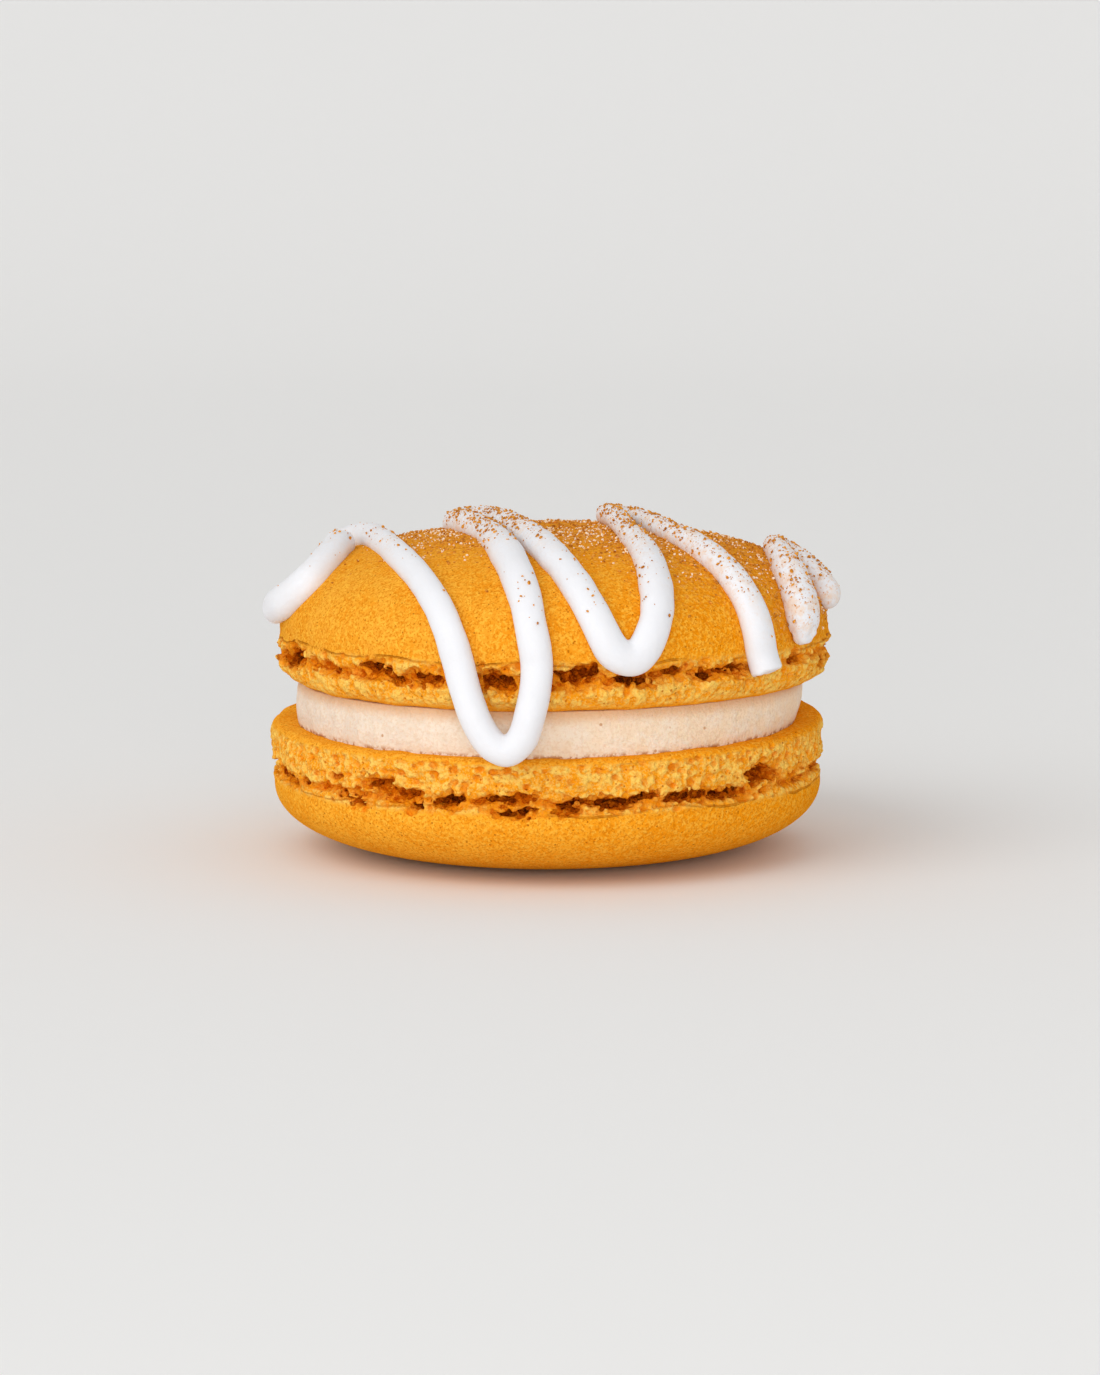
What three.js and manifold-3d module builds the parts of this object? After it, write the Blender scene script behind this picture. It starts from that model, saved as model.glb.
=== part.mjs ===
// A french macaron: two baked almond shells with ruffled feet, a layer of cream between them, and strokes of
// piped icing over the top shell. Millimetres, +Z up, +X to the right and -Y to the front of the macaron.
// The origin is the centre of the small flat spot that the lower shell rests on.
import * as THREE from "three";
import { mergeVertices } from "three/addons/utils/BufferGeometryUtils.js";
import Module from "manifold-3d";

// Driving dimensions
const SHELL_RADIUS = 25;
const LOWER_HEIGHT = 12;
const FILLING_HEIGHT = 3.8;
const UPPER_HEIGHT = 13.4;
const FILLING_RADIUS = 23.1;
const FILLING_SHIFT = -0.7; // the cream sits a little to the front
const FILLING_DRAW = 0.45; // how far its foot draws in at the sides
const SEAT_RADIUS = 22.5; // of the plain middle of each flat face
const REST_RADIUS = 8.7; // flat spot under the lower dome
const UPPER_SHIFT = 0.6; // how far the upper shell sits to the right of the lower one
const LEAN = 0.008; // rise of the upper shell for each millimetre to the right
const FRONT_DIPS = [[6, 0], [12, 0.6], [15.8, 0.3], [19.8, 0]]; // [height, how far the front rim sags there]
const SEATING_GAP = 0.05; // between the filling and each shell
const BEAD_RADIUS = 1.38; // half the width of the piped icing
const BEAD_FLATTENING = 0.82; // its height as a share of its width where it lies on the dome
const BEAD_SWELL = 0.07; // share by which its thickness comes and goes
const CROWN_LIFT = 0.3; // of the icing's centre line above the crown
const SIDE_LIFT = 0.75; // of the icing's centre line out from the side of the dome
const OVERHANG_RADIUS = 27.2; // where the icing hangs clear in front of the lower rim
const OVERHANG_DROP = 5.4; // from the dome's shoulder to where it hangs straight down

// Mesh fineness
const SHELL_SIDES = 110;
const WALL_ROW = 0.5; // height of one row of faces on a foot
const DOME_ROWS = 6;
const FILLING_SIDES = 80;
const FILLING_ROWS = 4;
const BEAD_SIDES = 8;
const BEAD_STEP = 1.45;

// Baked relief on the side of a shell
const FOOT_LUMPS = [[2.3, 0.3], [1.2, 0.18]]; // [how far apart, how far out]
const FOOT_SWELL = 0.1;
const RIM_LUMPS = 0.3; // share of the lumps left at the rim of the flat face
const RIM_REACH = 1.5;
const CRACK_DEPTH = 0.45;
const CRACK_HALF_HEIGHT = 0.35;
const DOME_SWELL = 0.16;

// Heights of a shell are measured from its flat face, h = 0, to the crown of its dome. A cave is one hole in
// the crack between foot and dome: [angle in degrees from the front, h, half width, half height, depth].
const LOWER_SHELL = {
  height: LOWER_HEIGHT,
  corner: 0.6,
  crack: 4.1,
  shoulder: 5.6,
  crownRadius: REST_RADIUS,
  sidePower: 2.24,
  crownPower: 2.22,
  seed: 11,
  caves: [
    [-59, 3.9, 0.6, 0.25, 1.0],
    [-48, 2.9, 0.5, 0.3, 1.0],
    [-45, 4.4, 1.2, 0.35, 1.6],
    [-40.5, 5.1, 0.7, 0.35, 1.6],
    [-36, 2.9, 1.6, 0.6, 1.2],
    [-30.5, 3.7, 2.2, 0.8, 1.4],
    [-26.5, 4.8, 0.9, 0.4, 2.2],
    [-19.8, 4.0, 1.5, 0.6, 2.2],
    [-8, 3.6, 2.0, 0.45, 1.5],
    [-6.4, 4.9, 1.8, 0.4, 2.3],
    [4.2, 4.4, 1.1, 0.65, 2.2],
    [13.6, 4.2, 1.9, 0.6, 2.3],
    [19.5, 3.8, 0.8, 0.45, 1.8],
    [29.4, 4.0, 2.5, 0.5, 1.6],
    [39.6, 4.2, 2.1, 0.55, 2.0],
    [49, 2.9, 1.9, 0.9, 1.8],
    [61.5, 3.6, 0.8, 0.25, 1.4],
  ],
};
const UPPER_SHELL = {
  height: UPPER_HEIGHT,
  corner: 2.3,
  crack: 2.7,
  shoulder: 4.6,
  crownRadius: 0,
  sidePower: 2.9,
  crownPower: 2.2,
  seed: 23,
  caves: [
    [-66, 2.7, 0.4, 0.25, 0.7],
    [-58.7, 2.9, 0.6, 0.3, 1.1],
    [-51.7, 2.7, 1.1, 0.35, 1.4],
    [-38.9, 3.1, 1.5, 0.5, 2.2],
    [-33.8, 2.4, 1.0, 0.4, 1.8],
    [-27, 2.6, 1.7, 0.55, 1.5],
    [-11.3, 2.6, 1.6, 0.8, 2.0],
    [5, 3.1, 2.1, 0.55, 1.9],
    [16, 2.4, 1.5, 0.45, 2.3],
    [24.8, 3.0, 1.1, 0.5, 1.5],
    [31.9, 2.6, 0.9, 0.35, 2.1],
    [38.6, 2.8, 1.5, 0.3, 1.4],
    [58, 2.8, 0.7, 0.3, 1.2],
  ],
};
const CAVES_SEEN_TO = 66; // degrees to each side of the front that the lists above cover

// The icing's way over the dome: places along its strokes, laid out flat as distances from the crown
// measured along the surface, [right, back, extra lift, girth]. The zigzag starts behind the end of the left
// stroke, runs over the front edge in one long loop, and ends cut off straight.
const LEFT_STROKE = [
  [-26.9, -4.7, 0, 1.15],
  [-25.1, -7.5, 0, 1.25],
  [-22.7, -8.4, 0, 1.3],
  [-20.9, -5.8, 0.1, 1.3],
  [-19.8, -1, 0.3, 1.25],
];
const ZIGZAG = [
  [-20.6, 5.4, 0.8, 0.85],
  [-18.9, 6, 0.6, 0.95],
  [-17.4, 3.6, 0.3, 0.95],
  [-15.9, -2.8, 0.1, 0.93],
  [-13.9, -11.4, 0, 0.9],
  [-11.5, -19.4, 0, 0.94],
  [-9.9, -25, 0, 0.97],
  [-9.4, -30.5, 0, 0.98],
  [-8.4, -34.6, 0, 1],
  [-7.3, -36.4, 0, 1],
  [-5.5, -37.35, 0, 1],
  [-3.8, -36.6, 0, 1],
  [-2.8, -34.9, 0, 0.97],
  [-1.8, -30.8, 0, 1],
  [-2.4, -25.2, 0, 1.05],
  [-3.9, -17.2, 0, 1.05],
  [-5.9, -6.4, 0, 0.95],
  [-8.1, 2.4, 0.1, 0.95],
  [-9, 7.6, 0.1, 1],
  [-7.2, 9.4, 0.1, 1],
  [-5.2, 4.8, 0, 1],
  [-2.9, -6.2, 0, 1],
  [0.2, -17.8, 0, 1],
  [3.5, -25.7, 0, 1.05],
  [5.9, -28.8, 0, 1.08],
  [8.1, -28.7, 0, 1.08],
  [9.2, -25.4, 0, 1.08],
  [8.6, -18.6, 0, 1],
  [6.8, -7.5, 0, 0.88],
  [5.7, 2.5, 0.35, 0.88],
  [5.4, 8.5, 0.2, 0.95],
  [7.2, 9.6, 0, 0.95],
  [8.2, 4.6, 0, 0.88],
  [10.4, -5.2, 0, 0.95],
  [14.8, -14.3, 0, 1.03],
  [18.5, -19.6, 0, 1.08],
  [22.5, -22.8, 0, 1.03],
];
const SIDE_STROKE = [
  [25, -15.6, 0.3, 0.75],
  [24, -14.6, 0.3, 1.2],
  [21.9, -10.8, 0.3, 1.25],
  [20.7, -4.6, 0.2, 1.1],
  [20.6, 0.8, 0, 0.95],
  [21.6, 3.6, 0, 0.95],
  [22.8, 1.4, 0, 0.95],
  [24.4, -2, 0, 1],
  [26.1, -4.2, 0, 1.15],
];

const UPPER_BASE = LOWER_HEIGHT + FILLING_HEIGHT;
const wasm = await Module();
wasm.setup();

// A repeatable number from 0 to 1 for each point of a lattice
function latticeValue(ix, iy, iz, seed) {
  let h = Math.imul(ix, 374761393) + Math.imul(iy, 668265263) + Math.imul(iz, 1274126177);
  h = Math.imul((h + Math.imul(seed, 362437)) ^ (h >>> 13), 1103515245);
  h = Math.imul(h ^ (h >>> 15), 0x85ebca77);
  return ((h ^ (h >>> 16)) >>> 0) / 4294967296;
}

const ease = (t) => t * t * (3 - 2 * t);

// Smooth noise from -1 to 1 over points in space, with features about one cell across
function noise(x, y, z, cell, seed) {
  const p = [x / cell, y / cell, z / cell];
  const low = p.map(Math.floor);
  const blend = p.map((v, k) => ease(v - low[k]));
  let sum = 0;
  for (let corner = 0; corner < 8; corner++) {
    const step = [corner & 1, (corner >> 1) & 1, corner >> 2];
    const weight = step.reduce((w, s, k) => w * (s ? blend[k] : 1 - blend[k]), 1);
    sum += weight * latticeValue(low[0] + step[0], low[1] + step[1], low[2] + step[2], seed);
  }
  return 2 * sum - 1;
}

// Caves for the part of the crack that the lists leave out, in the same sizes, round the sides and back
function cavesRound(shell) {
  const caves = [...shell.caves];
  const draw = (low, high, k, row) => low + (high - low) * latticeValue(k, row, 0, shell.seed);
  let angle = CAVES_SEEN_TO;
  for (let k = 0; angle < 354 - CAVES_SEEN_TO; k++) {
    angle += draw(5, 12, k, 1);
    const h = shell.crack + draw(-0.8, 0.8, k, 2);
    caves.push([angle, h, draw(0.6, 2.2, k, 3), draw(0.3, 0.75, k, 4), draw(1.2, 2.3, k, 5)]);
  }
  return caves;
}

// Lumps die down towards the flat face, whose rim is fairly even
const rimFade = (h) => RIM_LUMPS + (1 - RIM_LUMPS) * ease(THREE.MathUtils.clamp(h / RIM_REACH, 0, 1));

// How far a point on a shell's side stands out from the plain profile: lumps, the crack and its caves
function sideRelief(shell, caves, angle, h) {
  const x = SHELL_RADIUS * Math.sin(angle);
  const y = -SHELL_RADIUS * Math.cos(angle);
  const lump = ([cell, out], k) => out * noise(x, y, h, cell, shell.seed + k);
  const lumps = rimFade(h) * FOOT_LUMPS.map(lump).reduce((sum, out) => sum + out);
  const inFoot = ease(THREE.MathUtils.clamp((shell.shoulder - h) / 1.2, 0, 1));
  const wander = 0.35 * noise(x, y, 0, 3.5, shell.seed + 2);
  const groove = CRACK_DEPTH * Math.exp(-(((h - shell.crack - wander) / CRACK_HALF_HEIGHT) ** 2));
  let cave = 0;
  for (const [degrees, at, halfWidth, halfHeight, depth] of caves) {
    const turn = angle - THREE.MathUtils.degToRad(degrees);
    const along = SHELL_RADIUS * Math.atan2(Math.sin(turn), Math.cos(turn));
    const off = (along / (halfWidth + 0.3)) ** 2 + ((h - at) / (halfHeight + 0.2)) ** 2;
    cave = Math.max(cave, depth * Math.sqrt(Math.max(0, 1 - off)));
  }
  return inFoot * (FOOT_SWELL + lumps) - Math.max(groove, cave);
}

// A shell's section as [radius, h] points, from the middle of its flat face to its crown
function shellProfile(shell) {
  const points = [[0, 0], [SEAT_RADIUS, 0]];
  const inner = SHELL_RADIUS - shell.corner;
  for (let k = 0; k <= 2; k++) {
    const a = (k / 2) * (Math.PI / 2);
    points.push([inner + shell.corner * Math.sin(a), shell.corner * (1 - Math.cos(a))]);
  }
  const rows = Math.round((shell.shoulder - shell.corner) / WALL_ROW);
  for (let k = 1; k <= rows; k++) {
    points.push([SHELL_RADIUS, shell.corner + ((shell.shoulder - shell.corner) * k) / rows]);
  }
  for (let k = 1; k <= DOME_ROWS; k++) {
    const a = (k / DOME_ROWS) * (Math.PI / 2);
    const across = Math.cos(a) ** (2 / shell.sidePower);
    const up = Math.sin(a) ** (2 / shell.crownPower);
    points.push([
      k === DOME_ROWS ? shell.crownRadius : shell.crownRadius + (SHELL_RADIUS - shell.crownRadius) * across,
      shell.shoulder + (shell.height - shell.shoulder) * up,
    ]);
  }
  if (shell.crownRadius > 0) points.push([0, shell.height]);
  return points;
}

// Merges a geometry's shared points, so that it is one closed mesh of positions alone
function welded(geometry) {
  geometry.deleteAttribute("normal");
  geometry.deleteAttribute("uv");
  const merged = mergeVertices(geometry, 1e-4);
  const faces = [];
  const index = merged.index.array;
  for (let i = 0; i < index.length; i += 3) {
    const [a, b, c] = [index[i], index[i + 1], index[i + 2]];
    if (a !== b && b !== c && a !== c) faces.push(a, b, c);
  }
  merged.setIndex(faces);
  return merged;
}

// Moves every point of a geometry by a function of its place
function reshaped(geometry, move) {
  const position = geometry.getAttribute("position");
  const point = new THREE.Vector3();
  for (let i = 0; i < position.count; i++) {
    move(point.fromBufferAttribute(position, i));
    position.setXYZ(i, point.x, point.y, point.z);
  }
  return geometry;
}

// A solid turned from [radius, height] points, upright and with its seam at the front
function turned(points, sides) {
  const profile = points.map(([r, z]) => new THREE.Vector2(r, z));
  return welded(new THREE.LatheGeometry(profile, sides)).rotateX(Math.PI / 2);
}

// Everything over the resting spot leans a little to the right
function lean(point) {
  point.z += LEAN * point.x * Math.min(1, point.z / LOWER_HEIGHT);
}

// The two rims that face each other sag a little to the front
function settle(point) {
  const next = FRONT_DIPS.findIndex(([height]) => height > point.z);
  if (next < 1) return;
  const [below, above] = [FRONT_DIPS[next - 1], FRONT_DIPS[next]];
  const dip = THREE.MathUtils.mapLinear(point.z, below[0], above[0], below[1], above[1]);
  point.z += (dip * point.y) / SHELL_RADIUS;
}

// One shell. With flip it stands on its crown, with its flat face up.
function shellGeometry(shell, flip, base) {
  const profile = shellProfile(shell);
  const placed = profile.map(([r, h]) => [r, flip ? base - h : base + h]);
  if (flip) placed.reverse();
  const caves = cavesRound(shell);
  return reshaped(turned(placed, SHELL_SIDES), (p) => {
    const r = Math.hypot(p.x, p.y);
    const h = flip ? base - p.z : p.z - base;
    if (r < SEAT_RADIUS + 0.1 && h < shell.corner) return;
    const angle = Math.atan2(p.x, -p.y);
    if (h < shell.shoulder) {
      const edge = ease(Math.min(1, (r - SEAT_RADIUS) / 1.2));
      const grown = (r + sideRelief(shell, caves, angle, h) * edge) / r;
      p.x *= grown;
      p.y *= grown;
    } else if (!flip) {
      p.z += DOME_SWELL * noise(p.x, p.y, p.z, 9, shell.seed + 5);
    }
  });
}

// The cream: a disc whose side bulges out at the front and draws in under itself at the back
function fillingGeometry() {
  const low = LOWER_HEIGHT + SEATING_GAP;
  const high = UPPER_BASE - SEATING_GAP;
  const points = [[0, low]];
  for (let k = 0; k <= FILLING_ROWS; k++) {
    const t = k / FILLING_ROWS;
    points.push([FILLING_RADIUS - 0.25 * t ** 4, low + (high - low) * t]);
  }
  points.push([0, high]);
  return reshaped(turned(points, FILLING_SIDES), (p) => {
    const r = Math.hypot(p.x, p.y);
    const t = (p.z - low) / (high - low);
    if (r > 1) {
      const drawnIn = FILLING_DRAW * (1 + p.y / r) * (1 - t) ** 3;
      const grown = 1 + (0.16 * noise(p.x, p.y, p.z, 5, 31) - drawnIn) / r;
      p.x *= grown;
      p.y *= grown;
    }
    p.x += (UPPER_SHIFT / 2) * t;
    p.y += FILLING_SHIFT;
  });
}

// The line that the icing's centre keeps to, from the crown down over the edge, as [distance, radius, height]
function beadProfile() {
  const radius = SHELL_RADIUS + SIDE_LIFT;
  const shoulder = UPPER_BASE + UPPER_SHELL.shoulder;
  const rise = UPPER_HEIGHT - UPPER_SHELL.shoulder + CROWN_LIFT;
  const line = [[0, 0, shoulder + rise]];
  const add = (r, z) => {
    const [d, lastR, lastZ] = line[line.length - 1];
    line.push([d + Math.hypot(r - lastR, z - lastZ), r, z]);
  };
  const arcSteps = 200;
  for (let k = 1; k <= arcSteps; k++) {
    const a = (k / arcSteps) * (Math.PI / 2);
    const across = Math.sin(a) ** (2 / UPPER_SHELL.sidePower);
    const up = Math.max(0, Math.cos(a)) ** (2 / UPPER_SHELL.crownPower);
    add(radius * across, shoulder + rise * up);
  }
  const dropStep = 0.2;
  for (let drop = dropStep; drop < 2 * OVERHANG_DROP; drop += dropStep) {
    const out = ease(Math.min(1, drop / OVERHANG_DROP));
    add(radius + (OVERHANG_RADIUS - radius) * out, shoulder - drop);
  }
  return line;
}

// The place in space of a point laid out flat
function onDome(line, right, back, lift) {
  const distance = Math.hypot(right, back);
  const angle = Math.atan2(right, -back);
  let k = 1;
  while (k < line.length - 1 && line[k][0] < distance) k++;
  const [d0, r0, z0] = line[k - 1];
  const [d1, r1, z1] = line[k];
  const t = (distance - d0) / (d1 - d0);
  const r = r0 + (r1 - r0) * t;
  const z = z0 + (z1 - z0) * t + lift;
  return new THREE.Vector3(UPPER_SHIFT + r * Math.sin(angle), -r * Math.cos(angle), z);
}

// One stroke of icing: a bead of uneven thickness, flattened where it lies on the dome. Its ends are rounded,
// or cut off straight.
function strokeSolids(line, places, seed, cutEnd = false) {
  const flat = new THREE.CatmullRomCurve3(places.map((place) => new THREE.Vector3(...place.slice(0, 3))));
  const girths = new THREE.CatmullRomCurve3(places.map(([, , , girth]) => new THREE.Vector3(girth, 0, 0)));
  const count = Math.round(flat.getLength() / BEAD_STEP);
  const laid = flat.getSpacedPoints(count).map((p) => onDome(line, p.x, p.y, p.z));
  const path = new THREE.CatmullRomCurve3(laid);
  const middle = new THREE.Vector3(UPPER_SHIFT, 0, UPPER_BASE);
  const rings = path.getSpacedPoints(count).map((centre, k) => {
    const outward = centre.clone().sub(middle).normalize();
    const drop = UPPER_BASE + UPPER_SHELL.shoulder - centre.z;
    const hanging = ease(THREE.MathUtils.clamp(drop / OVERHANG_DROP, 0, 1));
    const swell = 1 + BEAD_SWELL * noise(centre.x, centre.y, centre.z, 5, seed);
    const girth = girths.getPoint(k / count).x * swell;
    return { centre, outward, girth, flattening: BEAD_FLATTENING + (1 - BEAD_FLATTENING) * hanging };
  });
  const fitted = (geometry, near) =>
    reshaped(geometry, (p) => {
      const { centre, outward, girth, flattening } = near(p);
      p.sub(centre);
      p.addScaledVector(outward, (flattening - 1) * p.dot(outward));
      p.multiplyScalar(girth).add(centre);
    });
  const closer = (p, a, b) => (b.centre.distanceToSquared(p) < a.centre.distanceToSquared(p) ? b : a);
  const nearest = (p) => rings.reduce((best, ring) => closer(p, best, ring));
  const round = new THREE.EllipseCurve(0, 0, BEAD_RADIUS, BEAD_RADIUS);
  const section = new THREE.Shape(round.getPoints(BEAD_SIDES));
  const swept = new THREE.ExtrudeGeometry(section, { steps: count, bevelEnabled: false, extrudePath: path });
  const ends = (cutEnd ? [rings[0]] : [rings[0], rings[count]]).map((ring) => {
    const ball = welded(new THREE.SphereGeometry(BEAD_RADIUS, BEAD_SIDES, 6));
    return fitted(ball.translate(...ring.centre.toArray()), () => ring);
  });
  return [fitted(welded(swept), nearest), ...ends].map(solid);
}

function solid(geometry) {
  return new wasm.Manifold(
    new wasm.Mesh({
      numProp: 3,
      vertProperties: new Float32Array(geometry.getAttribute("position").array),
      triVerts: new Uint32Array(geometry.index.array),
    }),
  );
}

// The largest body of a solid, without any void that joining has sealed inside it
function whole(joined) {
  return joined.decompose().reduce((best, body) => (body.volume() > best.volume() ? body : best));
}

function geometryOf(manifold) {
  const mesh = manifold.getMesh();
  return new THREE.BufferGeometry()
    .setAttribute("position", new THREE.BufferAttribute(new Float32Array(mesh.vertProperties), 3))
    .setIndex(new THREE.BufferAttribute(new Uint32Array(mesh.triVerts), 1));
}

// The upper shell with its icing, as one solid
function upperShellGeometry() {
  const shell = reshaped(shellGeometry(UPPER_SHELL, false, UPPER_BASE), (p) => {
    settle(p);
    p.x += UPPER_SHIFT;
  });
  const line = beadProfile();
  const icing = [
    ...strokeSolids(line, LEFT_STROKE, 42),
    ...strokeSolids(line, ZIGZAG, 41, true),
    ...strokeSolids(line, SIDE_STROKE, 43),
  ];
  return geometryOf(whole(icing.reduce((sum, piece) => sum.add(piece), solid(shell))));
}

function piece(name, geometry, colour, roughness) {
  geometry.computeVertexNormals();
  const material = new THREE.MeshStandardMaterial({ color: colour, roughness, metalness: 0 });
  const mesh = new THREE.Mesh(geometry, material);
  mesh.name = name;
  return mesh;
}

const lowerShell = reshaped(shellGeometry(LOWER_SHELL, true, LOWER_HEIGHT), settle);
const filling = reshaped(fillingGeometry(), settle);
const macaron = new THREE.Group();
macaron.add(
  piece("lower_shell", reshaped(lowerShell, lean), 0xf0a028, 0.8),
  piece("filling", reshaped(filling, lean), 0xf2d8bd, 0.5),
  piece("upper_shell", reshaped(upperShellGeometry(), lean), 0xeb9a22, 0.8),
);

export default macaron;
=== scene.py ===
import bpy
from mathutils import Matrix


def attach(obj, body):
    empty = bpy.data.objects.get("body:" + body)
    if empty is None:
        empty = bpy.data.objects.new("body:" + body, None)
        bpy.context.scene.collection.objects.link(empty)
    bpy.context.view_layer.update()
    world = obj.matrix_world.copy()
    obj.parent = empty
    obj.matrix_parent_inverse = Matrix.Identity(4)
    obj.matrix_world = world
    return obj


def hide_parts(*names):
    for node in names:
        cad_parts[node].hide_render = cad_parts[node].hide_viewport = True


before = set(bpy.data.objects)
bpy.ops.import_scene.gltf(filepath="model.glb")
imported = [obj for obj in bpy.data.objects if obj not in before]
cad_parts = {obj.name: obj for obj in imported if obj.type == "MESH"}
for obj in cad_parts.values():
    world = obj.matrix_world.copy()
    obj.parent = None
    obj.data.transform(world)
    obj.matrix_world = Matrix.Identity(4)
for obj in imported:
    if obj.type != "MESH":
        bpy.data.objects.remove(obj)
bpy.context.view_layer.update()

import copy
import math

import bmesh
import bpy
import numpy as np
import openvdb
from mathutils import Vector

# Sizes, as in the solid part
SHELL_RADIUS = 25.0
LOWER_HEIGHT = 12.0
FILLING_HEIGHT = 3.8
UPPER_HEIGHT = 13.4
FILLING_RADIUS = 23.1
FILLING_SHIFT = -0.7
FILLING_DRAW = 0.45
SEAT_RADIUS = 22.5
REST_RADIUS = 8.7
UPPER_SHIFT = 0.6
LEAN = 0.008
FRONT_DIPS = ((6, 12, 15.8, 19.8), (0, 0.6, 0.3, 0))
BEAD_RADIUS = 1.38
BEAD_FLATTENING = 0.82
CROWN_LIFT = 0.3
SIDE_LIFT = 0.75
OVERHANG_RADIUS = 27.2
OVERHANG_DROP = 5.4
RIM_LUMPS = 0.3
RIM_REACH = 1.5
UPPER_BASE = LOWER_HEIGHT + FILLING_HEIGHT

# Fineness of the meshes
SHELL_VOXEL = 0.15
ICING_VOXEL = 0.14
MOST_TRIANGLES = 190_000
CUT_REACH = 16  # balls of a stroke's end that its straight cut reaches

# Room round a shell for its relief, and how far from its surface the form is worked on
FAR_AWAY = 3.0
SPARE_HEIGHT = 0.8
SPARE_WIDTH = 1.4
SURFACE_REACH = 1.5
FADE = 1.2  # width over which the foot's relief dies out into the dome and the flat face

# Fine relief of the crust and the cream, and the grains on top
CRACK_DEPTH = 0.62
CRACK_HALF_HEIGHT = 0.36
PIT_COUNT = 2200
LEAST_PIT = 0.13
PIT_SPREAD = 0.36
FILLING_GAP = 0.02
LEAST_GRAIN = 0.13
CINNAMON_SPREAD = 0.36
SUGAR_SPREAD = 0.22

# Colours, as shares of red, green and blue
SKIN_CLOUD = (0.86, 0.27, 0.003)
SKIN_MOTTLE = (0.95, 0.46, 0.040)
SKIN_GRAIN = (0.98, 0.49, 0.050)
SKIN_SHADE = (0.70, 0.20, 0.002)
# Pores painted as dark dots of shade
SKIN_PORE_SHADE = (0.46, 0.12, 0.002)
SPONGE_LOW = (0.98, 0.36, 0.012)
# Painted light on the sponge: a highlight on its raised lumps, shade in the seams between them, and fine
# pale flecks as highlights
SPONGE_LUMP_HIGHLIGHT = (1.0, 0.61, 0.115)
SPONGE_SEAM_SHADE = (0.97, 0.36, 0.012)
SPONGE_SHADE = (0.84, 0.24, 0.005)
SPONGE_FINE_HIGHLIGHT = (1.0, 0.66, 0.17)
# Small holes in the sponge painted as dark dots of shade
SPONGE_HOLE_SHADE = (0.58, 0.14, 0.003)
# Painted shade in the crease where the skin folds over the sponge
FOLD_SHADE_LINE = (0.50, 0.13, 0.004)
# Pinholes painted as dark dots of shade
PINHOLE_SHADE = (0.40, 0.11, 0.005)
# Painted shade in the caves, darker with the depth below the whole crust
CAVE_EDGE_SHADE = (0.86, 0.26, 0.005)
CAVE_WALL_SHADE = (0.62, 0.13, 0.002)
CAVE_DEEP_SHADE = (0.30, 0.045, 0.001)
CINNAMON_POWDER = (0.64, 0.22, 0.018)
SUGAR_POWDER = (0.90, 0.62, 0.32)
ICING_WHITE = (0.81, 0.81, 0.835)
ICING_SMEAR = (0.84, 0.50, 0.21)
ICING_POWDER = (0.72, 0.32, 0.06)
# Painted light across the cream: paler on the lit left, warmer on the shaded right
CREAM_LIT_LEFT = (0.83, 0.70, 0.57)
CREAM_SHADED_RIGHT = (0.95, 0.74, 0.52)
CREAM_CLOUD = (0.93, 0.80, 0.66)
CREAM_SHADE = (0.78, 0.54, 0.34)
# Painted shade where the upper shell hangs over the top of the cream
CREAM_SHADE_UNDER_LID = (0.74, 0.42, 0.20)
CREAM_FLECK = (0.52, 0.22, 0.06)
# Painted shade in the gap along the torn lower seam, where the cream meets the lower shell
CREAM_SEAM_SHADE = (0.50, 0.20, 0.05)
# Painted light across each shell: paler and lighter on the lit left, redder and darker on the shaded right
LOWER_SKIN_LIT_LEFT = (0.97, 0.42, 0.032)
LOWER_SKIN_SHADED_RIGHT = (0.95, 0.33, 0.006)
UPPER_SKIN_LIT_LEFT = (0.90, 0.39, 0.038)
UPPER_SKIN_SHADED_RIGHT = (0.90, 0.30, 0.002)
CINNAMON_DARK = (0.40, 0.12, 0.010)
CINNAMON_LIGHT = (0.85, 0.38, 0.05)
SUGAR_DARK = (0.90, 0.68, 0.42)
SUGAR_LIGHT = (0.96, 0.86, 0.70)
FLOOR_COLOUR = (0.86, 0.855, 0.845)
CRUST_BUMP = 0.25  # depth in millimetres of the relief that the crust's paint adds

# The camera in metres and degrees, its tilt fitted to the outlines and its distance assumed, and the light
FOCAL_LENGTH = 3854  # in points of the picture
PICTURE_HEIGHT = 1375
SENSOR_WIDTH = 36
CAMERA_PLACE = (0.00023, -0.35, 0.0606)
CAMERA_PITCH = 82.5
SKY_STRENGTH = 0.63
WINDOW_STRENGTH = 0.92
WINDOW_SPREAD = 50
FILL_STRENGTH = 1.3

# A cave is one hole in the crack between foot and dome, with heights measured from the shell's flat face:
# (angle in degrees from the front, height, half width, half height, depth). The skirt is where sponge ends.
LOWER_SHELL = dict(
    height=LOWER_HEIGHT,
    corner=0.6,
    crack=4.1,
    skirt=5.1,
    shoulder=5.6,
    crown_radius=REST_RADIUS,
    side_power=2.24,
    crown_power=2.22,
    seed=11,
    caves=[
        (-59, 3.9, 0.6, 0.25, 1.0),
        (-48, 2.9, 0.5, 0.3, 1.0),
        (-45, 4.4, 1.2, 0.35, 1.6),
        (-40.5, 5.1, 0.7, 0.35, 1.6),
        (-36, 2.9, 1.6, 0.6, 1.2),
        (-30.5, 3.7, 2.2, 0.8, 1.4),
        (-26.5, 4.8, 0.9, 0.4, 2.2),
        (-19.8, 4.0, 1.5, 0.6, 2.2),
        (-8, 3.6, 2.0, 0.45, 1.5),
        (-6.4, 4.9, 1.8, 0.4, 2.3),
        (4.2, 4.4, 1.1, 0.65, 2.2),
        (13.6, 4.2, 1.9, 0.6, 2.3),
        (19.5, 3.8, 0.8, 0.45, 1.8),
        (29.4, 4.0, 2.5, 0.5, 1.6),
        (39.6, 4.2, 2.1, 0.55, 2.0),
        (49, 2.9, 1.9, 0.9, 1.8),
        (61.5, 3.6, 0.8, 0.25, 1.4),
    ],
)
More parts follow.
